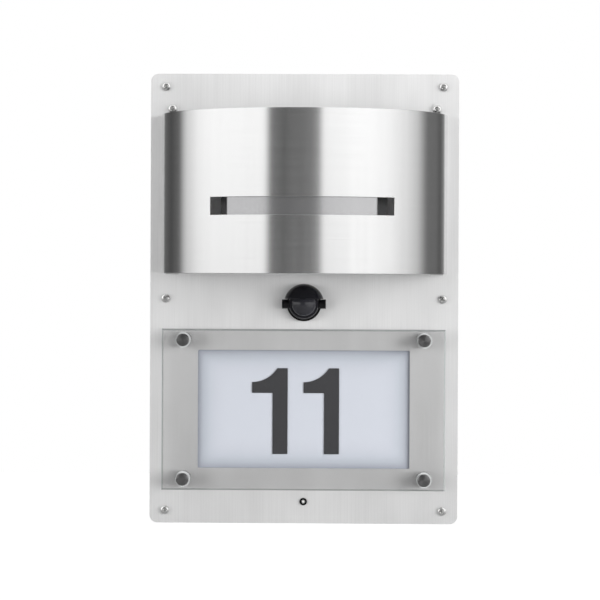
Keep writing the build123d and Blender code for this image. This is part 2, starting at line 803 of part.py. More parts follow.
# Collar: a ring round the ball, a neck through the plate and two ears with rounded noses that
# hold the trunnions. The ball sits in a spherical socket.
with BuildPart() as sensor_collar:
    with BuildSketch(Plane.XZ.offset(plate_front)):
        with Locations((0, eye_z)):
            Circle(collar_radius)
    extrude(amount=eye_proud - collar_rim_setback)
    with BuildSketch(Plane.YZ.offset(-ear_block_half_width)):
        with Locations((-eye_level, eye_z)):
            Circle(ear_block_radius)
        with Locations((-eye_level + eye_proud / 2, eye_z)):
            Rectangle(eye_proud, 2 * ear_block_radius)
    extrude(amount=2 * ear_block_half_width)
    with BuildSketch(Plane.XZ.offset(collar_neck_back)):
        with Locations((0, eye_z)):
            Circle(collar_neck_radius)
    extrude(amount=collar_neck_length)
    with BuildSketch(Plane.XZ.offset(collar_neck_back)):
        with Locations((0, eye_z)):
            Circle(neck_inner_radius)
    extrude(amount=collar_neck_length + eye_proud, mode=Mode.SUBTRACT)
    with Locations(eye_centre):
        Sphere(socket_radius, mode=Mode.SUBTRACT)
    bore_reach = trunnion_reach + socket_gap
    with BuildSketch(Plane.YZ.offset(-bore_reach)):
        with Locations((-eye_level, eye_z)):
            Circle(bore_radius)
    extrude(amount=2 * bore_reach, mode=Mode.SUBTRACT)
save(sensor_collar, "sensor_collar")

sensor_nut = tubes([(0, eye_z)], plate_back - ring_nut_height, ring_nut_height, ring_nut_radius,
                   collar_neck_radius + sensor_hole_clearance)
save(sensor_nut, "sensor_nut")

# Ball: rear shell of the head, with the detector board's ledge, the lead hole and the trunnions.
with BuildPart() as sensor_ball:
    with Locations(eye_centre):
        Sphere(ball_radius)
    with BuildSketch(Plane.XZ.offset(eye_level + ball_split)):
        with Locations((0, eye_z)):
            Circle(ball_radius)
    extrude(amount=ball_radius, mode=Mode.SUBTRACT)
    with BuildSketch(Plane.XZ.offset(eye_level - ball_back)):
        with Locations((0, eye_z)):
            Circle(ball_radius)
    extrude(amount=-ball_radius, mode=Mode.SUBTRACT)
    with BuildSketch(Plane.YZ.offset(-trunnion_reach)):
        with Locations((-eye_level, eye_z)):
            Circle(trunnion_radius)
    extrude(amount=2 * trunnion_reach)
    with BuildSketch(Plane.XZ.offset(eye_level - detector_board_depth)):
        with Locations((0, eye_z)):
            Circle(ball_bore_radius)
    extrude(amount=2 * ball_radius, mode=Mode.SUBTRACT)
    with BuildSketch(Plane.XZ.offset(eye_level - ball_rear_bore_depth)):
        with Locations((0, eye_z)):
            Circle(ball_rear_bore_radius)
    extrude(amount=ball_rear_bore_depth, mode=Mode.SUBTRACT)
    with BuildSketch(Plane.XZ.offset(eye_level - ball_back)):
        with Locations((0, eye_z)):
            Circle(ball_lead_hole_radius)
    extrude(amount=ball_back, mode=Mode.SUBTRACT)
save(sensor_ball, "sensor_ball")

# Visor: a half-dome eyelid with a level shelf, joined to the bezel ring that traps the lens.
with BuildPart() as sensor_visor:
    with Locations(eye_centre):
        Sphere(visor_radius)
        Sphere(visor_radius - visor_wall, mode=Mode.SUBTRACT)
    shelf_radius = visor_radius - visor_wall / 2
    with BuildSketch(Plane.XY.offset(eye_z + visor_sill)):
        with Locations((0, -eye_level)):
            Circle(sqrt(shelf_radius ** 2 - (visor_sill + visor_shelf) ** 2))
        with Locations((0, -eye_level - ball_split - visor_radius)):
            Rectangle(2 * visor_radius, 2 * visor_radius, mode=Mode.INTERSECT)
    extrude(amount=visor_shelf)
    with BuildSketch(Plane.XY.offset(eye_z + visor_sill)):
        with Locations((0, -eye_level)):
            Rectangle(2 * visor_radius, 2 * visor_radius)
    extrude(amount=-2 * visor_radius, mode=Mode.SUBTRACT)
    with BuildSketch(Plane.XZ.offset(eye_level)):
        with Locations((0, eye_z)):
            Rectangle(2 * visor_radius, 2 * visor_radius)
    extrude(amount=-visor_radius, mode=Mode.SUBTRACT)
    with Locations(eye_centre):
        Sphere(lens_radius + socket_gap, mode=Mode.SUBTRACT)
    with BuildSketch(Plane.XZ.offset(eye_level + ball_split)):
        with Locations((0, eye_z)):
            Circle(lens_flange_radius + lead_clearance)
    extrude(amount=lens_flange, mode=Mode.SUBTRACT)
    with BuildSketch(Plane.XY.offset(eye_z)):
        with BuildLine():
            split_radius = sqrt(ball_radius ** 2 - ball_split ** 2)
            front_radius = sqrt(ball_radius ** 2 - ball_front ** 2)
            Polyline((split_radius, -eye_level - ball_split),
                     (lens_flange_radius + lead_clearance, -eye_level - ball_split),
                     (lens_flange_radius + lead_clearance, -eye_level - ball_split - lens_flange),
                     (bezel_opening_radius, -eye_level - ball_split - lens_flange),
                     (bezel_opening_radius, -eye_level - ball_front),
                     (front_radius, -eye_level - ball_front))
            RadiusArc((front_radius, -eye_level - ball_front),
                      (split_radius, -eye_level - ball_split), ball_radius)
        make_face()
    revolve(axis=Axis(eye_centre, (0, 1, 0)))
save(sensor_visor, "sensor_visor")

# Lens: a thin dome with a flange that lies between ball and bezel ring.
with BuildPart() as sensor_lens:
    with Locations(eye_centre):
        Sphere(lens_radius)
    with BuildSketch(Plane.XZ.offset(eye_level + ball_split)):
        with Locations((0, eye_z)):
            Rectangle(2 * lens_radius, 2 * lens_radius)
    extrude(amount=-2 * lens_radius, mode=Mode.SUBTRACT)
    with BuildSketch(Plane.XZ.offset(eye_level + ball_split)):
        with Locations((0, eye_z)):
            Circle(lens_flange_radius)
    extrude(amount=lens_flange)
    with Locations(eye_centre):
        Sphere(lens_radius - lens_wall, mode=Mode.SUBTRACT)
save(sensor_lens, "sensor_lens")

with BuildPart() as pyro_board:
    with BuildSketch(Plane.XZ.offset(eye_level - detector_board_depth)):
        with Locations((0, eye_z)):
            Circle(detector_board_radius)
    extrude(amount=board_thickness)
save(pyro_board, "pyro_board")

# Can-shaped heat detector with its square window let into the front.
detector_seat = eye_level - detector_board_depth + board_thickness
with BuildPart() as pyro_detector:
    with BuildSketch(Plane.XZ.offset(detector_seat)):
        with Locations((0, eye_z)):
            Circle(detector_radius)
    extrude(amount=detector_height)
    fillet(pyro_detector.edges().group_by(Axis.Y)[0], radius=detector_height / 8)
    with BuildSketch(Plane.XZ.offset(detector_seat + detector_height)):
        with Locations((0, eye_z)):
            Rectangle(detector_radius, 0.8 * detector_radius)
    extrude(amount=-detector_height / 8, mode=Mode.SUBTRACT)
save(pyro_detector, "pyro_detector")

# ---- dusk sensor ----

with BuildPart() as dusk_bezel:
    with BuildSketch(Plane.XZ.offset(plate_back - dusk_tail / 2)):
        with Locations((0, dusk_z)):
            Circle(dusk_neck_radius)
    extrude(amount=plate_thickness + dusk_tail / 2)
    with BuildSketch(Plane.XZ.offset(plate_front)):
        with Locations((0, dusk_z)):
            Circle(dusk_bezel_radius)
    extrude(amount=dusk_bezel_height)
    fillet(dusk_bezel.edges().group_by(Axis.Y)[0], radius=dusk_bezel_height / 2)
    with BuildSketch(Plane.XZ.offset(plate_back - dusk_tail / 2)):
        with Locations((0, dusk_z)):
            Circle(dusk_cell_radius)
    extrude(amount=plate_thickness + dusk_tail, mode=Mode.SUBTRACT)
save(dusk_bezel, "dusk_bezel")

with BuildPart() as dusk_cell:
    with BuildSketch(Plane.XZ.offset(plate_back - dusk_tail)):
        with Locations((0, dusk_z)):
            Circle(dusk_cell_radius)
    extrude(amount=plate_thickness + dusk_tail + dusk_bezel_height / 2)
    fillet(dusk_cell.edges().group_by(Axis.Y)[0], radius=0.8 * dusk_cell_radius)
save(dusk_cell, "dusk_cell")

# ---- control board and its adjusters ----

with BuildPart() as control_board:
    with BuildSketch(Plane.XZ.offset(board_back)):
        with Locations((board_x, board_z)):
            RectangleRounded(board_width, board_height, board_hole_inset / 2)
        with Locations(*board_holes):
            Circle(small_shank_radius + screw_clearance, mode=Mode.SUBTRACT)
    extrude(amount=board_thickness)
save(control_board, "control_board")

board_screws = pan_screws(board_holes, board_front, small_head_radius, small_head_height,
                          small_shank_radius, board_boss_height)
save(board_screws, "board_screws")

relay_place = (board_x - board_width / 4, board_z + board_height / 4)
board_relay = sheet(relay_size[0], relay_size[1], board_front, relay_size[2], relay_place)
save(board_relay, "board_relay")

with BuildPart() as board_capacitor:
    with BuildSketch(Plane.XZ.offset(board_front)):
        with Locations((board_x, board_z - capacitor_radius)):
            Circle(capacitor_radius)
    extrude(amount=capacitor_height)
    fillet(board_capacitor.edges().group_by(Axis.Y)[0], radius=capacitor_radius / 8)
save(board_capacitor, "board_capacitor")

# Two trimmers at the board's edge, each with a blind bore for its knob's stem.
trimmer_x = board_right - trimmer_size[0] / 2
with BuildPart() as trimmer_bodies:
    with BuildSketch(Plane.XZ.offset(board_front)):
        for knob_z in trimmer_places.values():
            with Locations((trimmer_x, knob_z)):
                Rectangle(trimmer_size[0], trimmer_size[1])
    extrude(amount=trimmer_size[2])
    with BuildSketch(Plane.YZ.offset(board_right)):
        for knob_z in trimmer_places.values():
            with Locations((-trimmer_level, knob_z)):
                Circle(knob_stem_radius + knob_fit)
    extrude(amount=-knob_stem_depth - knob_fit, mode=Mode.SUBTRACT)
save(trimmer_bodies, "trimmer_bodies")

knob_head_start = board_right + knob_head_gap
knob_head_end = housing_width / 2 + knob_proud
for knob_name, knob_z in trimmer_places.items():
    with BuildPart() as knob:
        with BuildSketch(Plane.YZ.offset(board_right - knob_stem_depth)):
            with Locations((-trimmer_level, knob_z)):
                Circle(knob_stem_radius)
        extrude(amount=knob_stem_depth + knob_head_gap)
        with BuildSketch(Plane.YZ.offset(knob_head_start)):
            with Locations((-trimmer_level, knob_z)):
                Circle(knob_radius)
        extrude(amount=knob_head_end - knob_head_start)
        chamfer(knob.edges().group_by(Axis.X)[-1], length=knob_slot_width / 2)
        with BuildSketch(Plane.YZ.offset(knob_head_end)):
            with Locations((-trimmer_level, knob_z)):
                Rectangle(knob_slot_width, 1.4 * knob_radius)
        extrude(amount=-knob_slot_depth, mode=Mode.SUBTRACT)
    save(knob, knob_name + "_knob")

# ---- power supply, terminals and earth ----

driver_screw_x = driver_half + driver_foot / 2
driver_screw_places = [(driver_x - driver_screw_x, driver_z), (driver_x + driver_screw_x, driver_z)]
with BuildPart() as led_driver:
    with BuildSketch(Plane.XZ.offset(housing_floor)):
        with Locations((driver_x, driver_z)):
            Rectangle(driver_size[0], driver_size[1])
    extrude(amount=driver_size[2])
    fillet(led_driver.edges().group_by(Axis.Y)[0], radius=driver_foot_thickness / 2)
    with BuildSketch(Plane.XZ.offset(housing_floor)):
        with Locations((driver_x, driver_z)):
            Rectangle(driver_size[0] + 2 * driver_foot, driver_size[1] / 2)
        with Locations(*driver_screw_places):
            Circle(small_shank_radius + screw_clearance, mode=Mode.SUBTRACT)
    extrude(amount=driver_foot_thickness)
save(led_driver, "led_driver")

driver_screws = pan_screws(driver_screw_places, housing_floor + driver_foot_thickness,
                           small_head_radius, small_head_height, small_shank_radius,
                           driver_foot_thickness)
save(driver_screws, "driver_screws")

# Three-pole terminal block: wire mouths above and below, a clamp screw in each pole.
pole_places = [(terminal_x + n * terminal_pitch, terminal_z) for n in (-1, 0, 1)]
terminal_level = housing_floor + terminal_size[2] / 2
with BuildPart() as terminal_block:
    with BuildSketch(Plane.XZ.offset(housing_floor)):
        with Locations((terminal_x, terminal_z)):
            Rectangle(terminal_size[0], terminal_size[1])
    extrude(amount=terminal_size[2])
    with BuildSketch(Plane.XZ.offset(terminal_front)):
        with Locations(*pole_places):
            Circle(terminal_screw_radius + screw_clearance)
    extrude(amount=-terminal_screw_length, mode=Mode.SUBTRACT)
    for side in (-1, 1):
        with BuildSketch(Plane.XY.offset(terminal_z + side * terminal_size[1] / 2)):
            for pole_x, _ in pole_places:
                with Locations((pole_x, -terminal_level)):
                    Circle(terminal_mouth_radius)
        extrude(amount=-side * terminal_mouth_depth, mode=Mode.SUBTRACT)
save(terminal_block, "terminal_block")

with BuildPart() as terminal_screws:
    with BuildSketch(Plane.XZ.offset(terminal_front - terminal_screw_length)):
        with Locations(*pole_places):
            Circle(terminal_screw_radius)
    extrude(amount=terminal_screw_length - terminal_screw_radius / 2)
    with BuildSketch(Plane.XZ.offset(terminal_front - terminal_screw_radius / 2)):
        with Locations(*pole_places):
            Rectangle(2 * terminal_screw_radius, terminal_screw_radius / 3)
    extrude(amount=-terminal_screw_radius / 2, mode=Mode.SUBTRACT)
save(terminal_screws, "terminal_screws")

with BuildPart() as earth_stud:
    with BuildSketch(Plane.XZ.offset(plate_back - earth_stud_length)):
        with Locations((earth_x, earth_z)):
            Circle(earth_stud_radius)
    extrude(amount=earth_stud_length)
save(earth_stud, "earth_stud")

# Crimped ring tag on the stud, clamped between a plain spacer nut and an outer nut.
earth_tag_back = plate_back - hex_nut_height - earth_tag_thickness
with BuildPart() as earth_tag:
    with BuildSketch(Plane.XZ.offset(earth_tag_back)):
        with Locations((earth_x, earth_z)):
            Circle(earth_tag_radius)
        with Locations((earth_x - earth_tag_radius, earth_z)):
            Rectangle(2 * earth_tag_radius, earth_tag_radius)
        with Locations((earth_x, earth_z)):
            Circle(earth_stud_radius + screw_clearance, mode=Mode.SUBTRACT)
    extrude(amount=earth_tag_thickness)
    with BuildSketch(Plane.YZ.offset(earth_x - 2 * earth_tag_radius)):
        with Locations((-earth_tag_back, earth_z)):
            Circle(lead_radius + earth_tag_thickness)
    extrude(amount=-earth_tag_barrel)
save(earth_tag, "earth_tag")

with BuildPart() as earth_nuts:
    for nut_back in (plate_back - hex_nut_height, earth_tag_back - hex_nut_height):
        with BuildSketch(Plane.XZ.offset(nut_back)):
            with Locations((earth_x, earth_z)):
                RegularPolygon(1.75 * earth_stud_radius, 6, major_radius=False)
                Circle(earth_stud_radius + screw_clearance, mode=Mode.SUBTRACT)
        extrude(amount=hex_nut_height)
save(earth_nuts, "earth_nuts")

# ---- connectors and internal leads ----

# Plug sockets on the boards. Each lead ends square on one of their faces.
connector_width, connector_length, connector_height = connector_size
board_bottom = board_z - board_height / 2
board_top = board_z + board_height / 2
number_plug = (board_x - board_width / 4, board_bottom + connector_length)
dusk_plug = (board_x + board_width / 8, board_bottom + connector_length)
eye_plug = (board_x - board_width / 2 + connector_width, board_z)
mains_plug = (board_x + board_width / 8, board_top - connector_length)
with BuildPart() as lead_connectors:
    with BuildSketch(Plane.XZ.offset(board_front)):
        with Locations(number_plug, dusk_plug, eye_plug, mains_plug):
            Rectangle(connector_width, connector_length)
    extrude(amount=connector_height)
    with BuildSketch(Plane.XZ.offset(lamp_board_front)):
        with Locations((0, lamp_connector_z)):
            Rectangle(connector_width, connector_length)
    extrude(amount=connector_height)
    number_connector_z = number_z + number_board_height / 2 - connector_length
    with BuildSketch(Plane.XZ.offset(number_board_front)):
        with Locations((number_lead_x, number_connector_z)):
            Rectangle(connector_width, connector_length)
    extrude(amount=connector_height)
save(lead_connectors, "lead_connectors")

# Routes are points as (X, level, Z). A lead runs straight out of its clamp or plug for about
# lead_drop, then crosses in a few slack bends, set as shares of the way it has to go.
terminal_bottom = terminal_z - terminal_size[1] / 2
driver_top = driver_z + driver_size[1] / 2
supply_x = terminal_x - terminal_pitch
supply_gap = terminal_bottom - driver_top
lead("supply_lead", [(supply_x, terminal_level, terminal_bottom + clamp_reach),
                     (supply_x, terminal_level, terminal_bottom - 0.3 * supply_gap),
                     (driver_x, terminal_level + thin_lead_radius, driver_top + 0.35 * supply_gap),
                     (driver_x, terminal_level + thin_lead_radius, driver_top)], lead_radius)

control_run = mains_plug[0] - terminal_x
lead("control_lead", [(terminal_x, terminal_level, terminal_bottom + clamp_reach),
                      (terminal_x, terminal_level, terminal_bottom - lead_drop),
                      (terminal_x + 0.19 * control_run, terminal_level,
                       terminal_bottom - 2.4 * lead_drop),
                      (terminal_x + 0.52 * control_run, terminal_level,
                       terminal_bottom - 2 * lead_drop),
                      (terminal_x + 0.87 * control_run, connector_level, board_top + lead_drop),
                      (mains_plug[0], connector_level, board_top + 0.9 * lead_drop),
                      (mains_plug[0], connector_level, mains_plug[1] + connector_length / 2)],
     lead_radius)

lamp_lead_level = lamp_board_front + connector_height / 2
driver_exit_level = driver_front - 0.35 * driver_size[2]
driver_right = driver_x + driver_half
lead("lamp_lead", [(driver_right, driver_exit_level, driver_z),
                   (driver_right + 0.8 * lead_drop, driver_exit_level, driver_z),
                   (0, driver_front - clamp_reach, lead_hole_z),
                   (0, lamp_lead_level, lead_hole_z),
                   (0, lamp_lead_level, lamp_connector_z - connector_length / 2)], lead_radius)

number_entry_z = number_z + light_box_height / 2
lead("number_lead", [(number_plug[0], connector_level, number_plug[1] - connector_length / 2),
                     (number_plug[0], connector_level, board_bottom - 0.65 * lead_drop),
                     (number_lead_x, number_lead_level, number_entry_z + 1.1 * lead_drop),
                     (number_lead_x, number_lead_level, number_connector_z + connector_length / 2)],
     lead_radius)

eye_plug_face = eye_plug[0] - connector_width / 2
eye_rise = eye_plug[1] - eye_z
lead("sensor_lead", [(eye_plug_face, connector_level, eye_plug[1]),
                     (eye_plug_face - 1.15 * lead_drop, connector_level, eye_plug[1]),
                     (0.45 * eye_plug_face, connector_level, eye_z + 0.6 * eye_rise),
                     (0.1 * eye_plug_face, connector_level, eye_z + 0.18 * eye_rise),
                     (0, collar_neck_back, eye_z),
                     (0, eye_level - detector_board_depth - thin_lead_radius / 2, eye_z)],
     thin_lead_radius)

gap_behind_box = (housing_floor + light_box_back) / 2
dusk_rise = board_bottom - dusk_z
lead("dusk_lead", [(0, plate_back - dusk_tail, dusk_z),
                   (0, gap_behind_box, dusk_z),
                   (0.15 * dusk_plug[0], gap_behind_box, dusk_z + 0.19 * dusk_rise),
                   (0.24 * dusk_plug[0], gap_behind_box, dusk_z + 0.45 * dusk_rise),
                   (0.56 * dusk_plug[0], gap_behind_box, dusk_z + 0.72 * dusk_rise),
                   (0.9 * dusk_plug[0], gap_behind_box, board_bottom - 1.5 * lead_drop),
                   (dusk_plug[0], connector_level, board_bottom - 0.65 * lead_drop),
                   (dusk_plug[0], connector_level, dusk_plug[1] - connector_length / 2)],
     thin_lead_radius)

earth_lead_x = terminal_x + terminal_pitch
earth_tag_end = earth_x - 2 * earth_tag_radius - earth_tag_barrel
earth_run = earth_tag_end - earth_lead_x
terminal_top = terminal_z + terminal_size[1] / 2
lead("earth_lead", [(earth_lead_x, terminal_level, terminal_top - clamp_reach),
                    (earth_lead_x, terminal_level, terminal_top + 0.85 * lead_drop),
                    (earth_lead_x + 0.19 * earth_run, terminal_level + clamp_reach,
                     terminal_top + 1.8 * lead_drop),
                    (earth_lead_x + 0.6 * earth_run, earth_tag_back - 2 * clamp_reach,
                     terminal_top + 1.75 * lead_drop),
                    (earth_tag_end - 1.15 * lead_drop, earth_tag_back, earth_z),
                    (earth_tag_end, earth_tag_back, earth_z)], lead_radius)
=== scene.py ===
from math import asin, pi, radians, sqrt

import bmesh
import bpy
from mathutils import Matrix, Vector


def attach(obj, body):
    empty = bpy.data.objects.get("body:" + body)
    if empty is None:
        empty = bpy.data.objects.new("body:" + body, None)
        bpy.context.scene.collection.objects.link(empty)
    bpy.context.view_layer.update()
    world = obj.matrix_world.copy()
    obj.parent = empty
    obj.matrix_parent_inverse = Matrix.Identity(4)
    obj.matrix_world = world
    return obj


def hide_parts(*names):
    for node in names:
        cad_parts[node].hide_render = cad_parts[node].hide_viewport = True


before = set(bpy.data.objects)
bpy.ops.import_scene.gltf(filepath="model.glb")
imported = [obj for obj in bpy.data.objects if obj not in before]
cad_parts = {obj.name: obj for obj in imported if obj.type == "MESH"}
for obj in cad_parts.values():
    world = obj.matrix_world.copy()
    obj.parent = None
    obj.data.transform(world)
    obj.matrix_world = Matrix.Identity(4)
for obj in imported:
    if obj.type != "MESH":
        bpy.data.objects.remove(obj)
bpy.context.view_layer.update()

# Sizes are in millimetres, and a mesh is scaled to metres when its piece is made. A "level" is a
# distance out from the wall, towards -Y.
MM = 0.001

# ---- Rear housing -------------------------------------------------------------------------------
# A shallow tray of grey moulded ABS against the wall, with screw posts and bosses inside. The mould
# leaves a fine spark-eroded texture that scatters light evenly and dulls the gloss.


def linear(code):
    """A hex sRGB colour as linear red, green, blue and alpha."""
    parts = [int(code[place:place + 2], 16) / 255 for place in (1, 3, 5)]
    return [v / 12.92 if v <= 0.04045 else ((v + 0.055) / 1.055) ** 2.4 for v in parts] + [1.0]


def put(tree, kind, inputs=(), stops=(), **settings):
    """Add one node to a tree, with its settings, its colour stops and its inputs or links."""
    made = tree.nodes.new(kind)
    for name, value in settings.items():
        setattr(made, name, value)
    for number, (place, code) in enumerate(stops):
        ramp = made.color_ramp.elements
        stop = ramp[number] if number < len(ramp) else ramp.new(place)
        stop.position = place
        stop.color = linear(code)
    for name, value in dict(inputs).items():
        if isinstance(value, bpy.types.NodeSocket):
            tree.links.new(value, made.inputs[name])
        else:
            made.inputs[name].default_value = value
    return made


def finish(name, colour, roughness, **sockets):
    """A new material: its tree and its Principled shader, with the shader's own sockets set."""
    made = bpy.data.materials.new(name)
    made.use_nodes = True
    tree = made.node_tree
    shader = tree.nodes["Principled BSDF"]
    shader.inputs["Base Color"].default_value = linear(colour)
    shader.inputs["Roughness"].default_value = roughness
    for socket, value in sockets.items():
        shader.inputs[socket.replace("_", " ")].default_value = value
    return made, tree, shader


def mottle(tree, sizes, detail=2.0, shift=0.0):
    """Noise on object coordinates, its cells so many millimetres wide along X, Y and Z."""
    place = put(tree, "ShaderNodeTexCoord").outputs["Object"]
    fitted = put(tree, "ShaderNodeMapping", {"Vector": place, "Location": (shift, shift, shift),
                                             "Scale": [1 / (MM * size) for size in sizes]})
    noise = put(tree, "ShaderNodeTexNoise", {"Vector": fitted.outputs[0], "Scale": 1.0,
                                             "Detail": detail})
    return noise.outputs["Fac"]


def texture(tree, shader, height, depth, colours=(), rough=()):
    """Let one pattern drive relief in millimetres, and colour and roughness between two ends,
    which it reaches where it is low and high."""
    low, high = 0.3, 0.7
    bump = put(tree, "ShaderNodeBump", {"Height": height, "Strength": 1.0, "Distance": depth * MM})
    tree.links.new(bump.outputs[0], shader.inputs["Normal"])
    if colours:
        shade = put(tree, "ShaderNodeValToRGB", {"Fac": height},
                    stops=((low, colours[0]), (high, colours[1])))
        tree.links.new(shade.outputs[0], shader.inputs["Base Color"])
    if rough:
        spread = put(tree, "ShaderNodeMapRange", {"Value": height,
                                                  "From Min": low, "From Max": high,
                                                  "To Min": rough[0], "To Max": rough[1]})
        tree.links.new(spread.outputs[0], shader.inputs["Roughness"])


def dress(skin, *names):
    """Give CAD nodes their finish."""
    for name in names:
        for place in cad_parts[name].material_slots:
            place.material = skin


def linked(name, form, skin):
    """Make a bmesh into an object of one material."""
    data = bpy.data.meshes.new(name)
    form.to_mesh(data)
    form.free()
    data.materials.append(skin)
    made = bpy.data.objects.new(name, data)
    bpy.context.scene.collection.objects.link(made)
    return made


def piece(name, form, skin, replaced, body="housing", crease=30, flat_over=1e9):
    """Make a bmesh in millimetres into a piece in metres that rides on a body in place of CAD
    nodes. Its faces shade smoothly up to a crease, but one larger than flat_over square
    millimetres stays flat."""
    bmesh.ops.scale(form, vec=(MM, MM, MM), verts=form.verts)
    made = linked(name, form, skin)
    data = made.data
    if "custom_normal" in data.attributes:
        data.attributes.remove(data.attributes["custom_normal"])
    data.set_sharp_from_angle(angle=radians(crease))
    for face in data.polygons:
        face.use_smooth = face.area < flat_over * MM * MM
    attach(made, body)
    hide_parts(*replaced)
    return made


def round_off(form, angle, width):
    """Round the edges whose faces meet at more than an angle in degrees, by a width."""
    sharp = [edge for edge in form.edges
             if edge.is_manifold and edge.calc_face_angle() > radians(angle)]
    bmesh.ops.bevel(form, geom=sharp, offset=width, offset_type="OFFSET", segments=2,
                    profile=0.5, affect="EDGES", material=-1, clamp_overlap=True)


def eased(node, name, skin, width, body="housing"):
    """A merged copy of a CAD node, its sharp edges rounded by a width in millimetres."""
    form = bmesh.new()
    form.from_mesh(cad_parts[node].data)
    bmesh.ops.scale(form, vec=(1 / MM, 1 / MM, 1 / MM), verts=form.verts)
    bmesh.ops.remove_doubles(form, verts=form.verts, dist=0.002)
    bmesh.ops.dissolve_limit(form, verts=form.verts, edges=form.edges, angle_limit=radians(0.5))
    round_off(form, 40, width)
    return piece(name, form, skin, [node], body, flat_over=30)


# Moulded ABS looks even and matt.
moulded_grey, tree, shader = finish("moulded_grey_abs", "#8E9092", 0.5)
texture(tree, shader, mottle(tree, (0.7, 0.7, 0.7)), 0.03, ("#8A8C8E", "#929496"), (0.45, 0.56))
dress(moulded_grey, "rear_housing")

# Cut foam is dull black, with pores half a millimetre wide.
closed_cell_foam, tree, shader = finish("closed_cell_foam", "#202122", 0.95)
texture(tree, shader, mottle(tree, (0.5, 0.5, 0.5), 3.0), 0.12, ("#161718", "#2A2B2C"))
dress(closed_cell_foam, "housing_gasket", "lamp_gasket")

# Moulded rubber is dull, with a faint bloom.
black_rubber, tree, shader = finish("black_rubber", "#1A1A1B", 0.7)
texture(tree, shader, mottle(tree, (0.4, 0.4, 0.4)), 0.02, ("#161617", "#202022"), (0.6, 0.78))
dress(black_rubber, "cable_grommet", "lead_grommet")

# ---- Mains parts and control board --------------------------------------------------------------
# Off-the-shelf electrical parts on the housing's floor: a white driver, a white terminal block, a
# green glass-fibre board with its relay, capacitor and trimmers, and wires in coloured insulation.

# Moulded nylon has a soft sheen.
white_moulded, tree, shader = finish("white_moulded_nylon", "#DCDCD8", 0.42)
texture(tree, shader, mottle(tree, (0.8, 0.8, 0.8)), 0.02, ("#D6D6D1", "#E0E0DC"), (0.38, 0.48))
dress(white_moulded, "led_driver", "terminal_block", "lead_connectors", "light_box")

# Printed solder mask is glossy, and copper tracks beneath it lighten it in patches.
green_board, tree, shader = finish("green_solder_mask", "#1E5A33", 0.3, Coat_Weight=0.4)
texture(tree, shader, mottle(tree, (6.0, 6.0, 1.2), 0.0), 0.03, ("#1B5430", "#2A6B40"))
dress(green_board, "control_board", "pyro_board")

# Moulded blue ABS, and a shrunk black sleeve, are smooth and a little glossy.
relay_blue, tree, shader = finish("relay_blue_abs", "#26488A", 0.35)
texture(tree, shader, mottle(tree, (0.6, 0.6, 0.6)), 0.01, ("#234482", "#2B4F96"))
dress(relay_blue, "board_relay")

sleeve_black, tree, shader = finish("sleeve_black", "#1C1D20", 0.3)
texture(tree, shader, mottle(tree, (0.9, 0.9, 0.9)), 0.01, ("#191A1C", "#222326"))
dress(sleeve_black, "board_capacitor", "trimmer_bodies")

# The knobs' moulded nylon is satin.
knob_grey, tree, shader = finish("knob_grey_nylon", "#3A3B3D", 0.45)
texture(tree, shader, mottle(tree, (0.5, 0.5, 0.5)), 0.02, ("#36373A", "#404144"), (0.4, 0.52))
dress(knob_grey, "lux_knob", "time_knob")

# Stamped and tinned brass shines softly.
tinned_brass, tree, shader = finish("tinned_brass", "#C9B27A", 0.35, Metallic=1.0)
texture(tree, shader, mottle(tree, (0.8, 0.8, 0.8)), 0.01, ("#C2AA70", "#D2BE8C"))
dress(tinned_brass, "earth_tag")

# Extruded insulation is smooth and satin.
for insulation_name, dark, light, wires in (
        ("white_insulation", "#D2D2CE", "#DEDEDA", ("lamp_lead", "number_lead", "sensor_lead",
                                                    "dusk_lead")),
        ("black_insulation", "#1A1A1C", "#242426", ("supply_lead", "control_lead")),
        ("green_yellow_insulation", "#3F8A2A", "#D8C838", ("earth_lead",))):
    insulation, tree, shader = finish(insulation_name, light, 0.4)
    texture(tree, shader, mottle(tree, (6.0, 6.0, 6.0), 0.0), 0.01, (dark, light))
    dress(insulation, *wires)

# ---- Number light box ---------------------------------------------------------------------------
# A white board with light-emitting chips at the bottom of a white tray lights the opal sheet from
# behind. White mask and yellow phosphor show only with the sign taken apart.

# Printed white mask is glossy, and phosphor in clear resin looks deep yellow.
white_board, tree, shader = finish("white_solder_mask", "#E2E2DC", 0.32, Coat_Weight=0.3)
texture(tree, shader, mottle(tree, (5.0, 5.0, 5.0), 0.0), 0.02, ("#DADAD4", "#E6E6E2"))
dress(white_board, "lamp_board", "number_board")

phosphor, tree, shader = finish("phosphor_chip", "#E8CF6A", 0.35)
texture(tree, shader, mottle(tree, (0.5, 0.5, 0.5)), 0.01, ("#E0C45A", "#F0DA80"))
dress(phosphor, "lamp_leds", "number_leds")

# The opal sheet is 3 mm cast acrylic that rests on the tray's rim. Its margin gets less light from
# behind, and that shade is painted into its colour: it greys over the last 22 mm towards the
# window's edge, a little bluer than the middle.
number_centre_z = -86.0
window_half = (82.5, 46.0)
painted_shade_width, corner_blend = 22.0, 8.0
opal_sheet, tree, shader = finish("opal_cast_acrylic", "#D5D9E2", 0.35, IOR=1.49)
place = put(tree, "ShaderNodeTexCoord").outputs["Object"]
from_centre = put(tree, "ShaderNodeVectorMath", {0: place, 1: (0, 0, number_centre_z * MM)},
                  operation="SUBTRACT")
reach = put(tree, "ShaderNodeVectorMath", {0: from_centre.outputs[0]}, operation="ABSOLUTE")
margin = put(tree, "ShaderNodeVectorMath", {0: (window_half[0] * MM, 0, window_half[1] * MM),
                                            1: reach.outputs[0]}, operation="SUBTRACT")
sides = put(tree, "ShaderNodeSeparateXYZ", {0: margin.outputs[0]})
nearest = put(tree, "ShaderNodeMath", {0: sides.outputs["X"], 1: sides.outputs["Z"],
                                       2: corner_blend * MM}, operation="SMOOTH_MIN")
painted_shade_share = put(tree, "ShaderNodeMapRange", {"Value": nearest.outputs[0], "From Min": 0.0,
                                          "From Max": painted_shade_width * MM})
